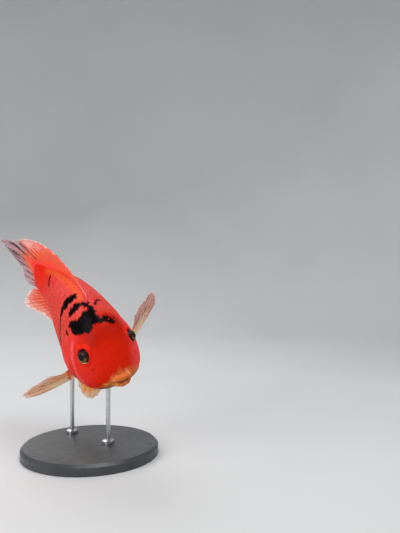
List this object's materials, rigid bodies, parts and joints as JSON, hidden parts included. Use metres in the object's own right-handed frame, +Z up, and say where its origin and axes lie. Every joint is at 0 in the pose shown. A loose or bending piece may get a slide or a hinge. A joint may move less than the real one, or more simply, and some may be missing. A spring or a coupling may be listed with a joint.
{
  "type": "blood parrot cichlid model",
  "caption": "Life-size still model of a blood parrot cichlid, nose down with its tail bent to its right, fins spread, held on a plain round stand by rods.",
  "frame": {"origin": "middle of the underside of the stand base", "axes": "+Z up. The picture was taken looking along +Y, so +X is to the right in it. The fish heads towards +X and -Y with its nose down."},
  "size_m": [0.1534, 0.1446, 0.1917],
  "materials": {
    "red_skin": "satin, wet-looking skin with fine scales and black blotches",
    "orange_fin": "satin, pale edge",
    "clear_fin": "satin, thin and translucent",
    "tail_fin": "satin, thin and translucent with dark streaks",
    "eye": "gloss",
    "base_paint": "wood painted dark grey, satin",
    "rod_steel": "satin"
  },
  "bodies": {
    "root": {"head": "red_skin", "lower_jaw": "red_skin", "torso": "red_skin", "tail_stalk": "red_skin", "gill_cover_left": "red_skin", "gill_cover_right": "red_skin", "dorsal_fin": "orange_fin", "anal_fin": "orange_fin", "pelvic_fin_left": "orange_fin", "pelvic_fin_right": "orange_fin", "pectoral_fin_left": "clear_fin", "pectoral_fin_right": "clear_fin", "caudal_fin": "tail_fin", "eye_left": "eye", "eye_right": "eye", "stand_base": "base_paint", "stand_rod_front": "rod_steel", "stand_rod_rear": "rod_steel"}
  },
  "joints": []
}
